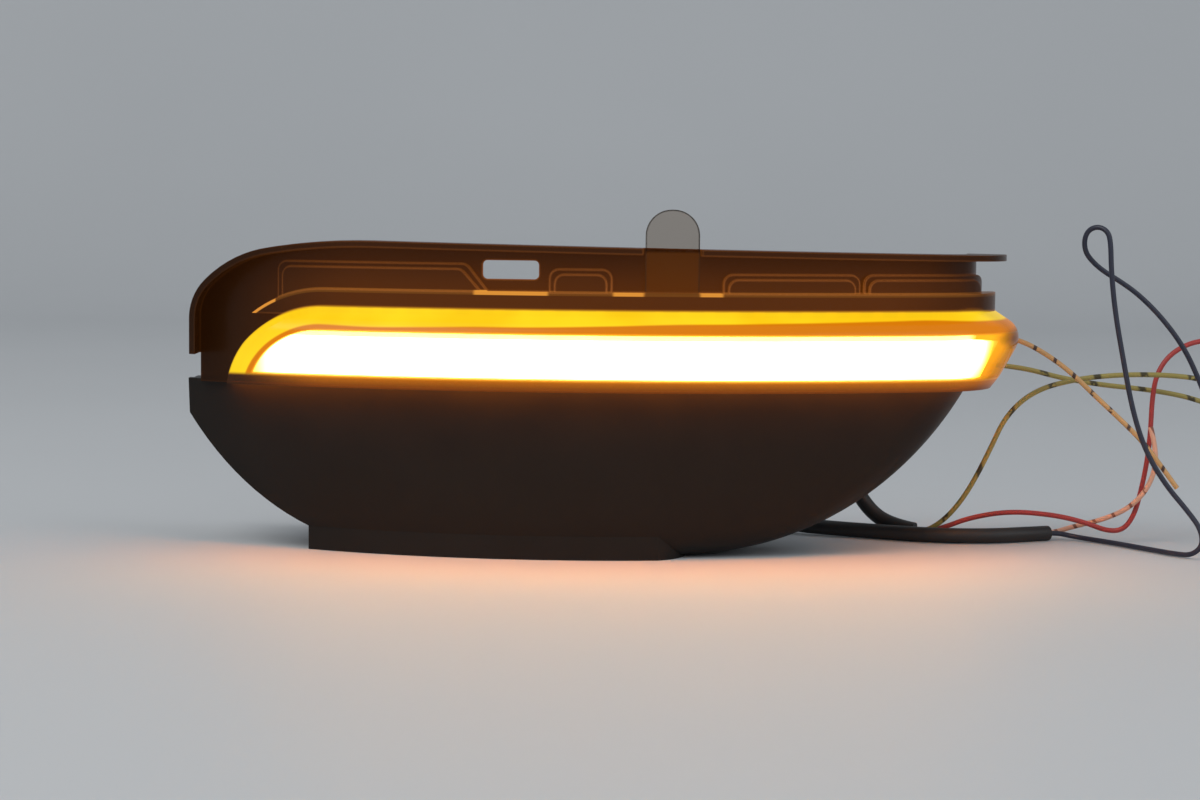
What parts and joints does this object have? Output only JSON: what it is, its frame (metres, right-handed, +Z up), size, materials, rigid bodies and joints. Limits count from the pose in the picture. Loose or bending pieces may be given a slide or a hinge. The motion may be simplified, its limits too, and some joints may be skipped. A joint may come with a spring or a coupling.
{
  "type": "mirror turn signal lamp",
  "caption": "Curved strip turn signal lamp for a door mirror: smoked lens with pads, clip window and tongue, lit amber guide, black lower cover and loose leads.",
  "frame": {"origin": "under the middle of the lamp's box, leads left out, on the surface that its foot stands on", "axes": "+X along the strip to the end that turns backwards, +Y to the open back, +Z up; the lit face looks along -Y"},
  "size_m": [0.335, 0.0889, 0.0918],
  "materials": {
    "smoked_lens": "clear smoked polycarbonate, glossy",
    "light_guide": "milky diffuser, lit amber",
    "tray_white": "white reflective plastic, satin",
    "board": "white solder mask, satin",
    "led_package": "amber-filled LED packages",
    "chip_black": "black chip packages",
    "housing_black": "black moulded plastic, fine texture",
    "seal": "black sealing bead",
    "rubber_black": "black soft rubber",
    "vent_grey": "dark grey moulded plastic",
    "screw_steel": "zinc-plated steel",
    "cover_black": "black satin plastic with a fine grain",
    "sleeve_black": "black matt shrink sleeve",
    "lead_olive": "olive lead insulation with dark marks",
    "lead_red": "red lead insulation",
    "lead_pink": "pale pink lead insulation with red marks",
    "lead_blue": "dark blue lead insulation",
    "lead_orange": "tan orange lead insulation with dark marks",
    "plug_black": "black connector plastic",
    "pin_metal": "bare contact metal"
  },
  "bodies": {
    "root": {"outer_lens": "smoked_lens", "light_guide": "light_guide", "reflector_tray": "tray_white", "led_board": "board", "leds": "led_package", "resistors": "chip_black", "driver_chip": "chip_black", "rear_housing": "housing_black", "lens_seal": "seal", "main_grommet": "rubber_black", "side_grommet": "rubber_black", "vent_plug": "vent_grey", "cover_screws": "screw_steel", "lower_cover": "cover_black", "sleeve_short": "sleeve_black", "sleeve_long": "sleeve_black", "lead_olive_front": "lead_olive", "lead_red": "lead_red", "lead_pink": "lead_pink", "lead_blue": "lead_blue", "lead_olive_rear": "lead_olive", "lead_orange": "lead_orange", "front_plug": "plug_black", "rear_plug": "plug_black", "plug_pins": "pin_metal"}
  },
  "joints": []
}
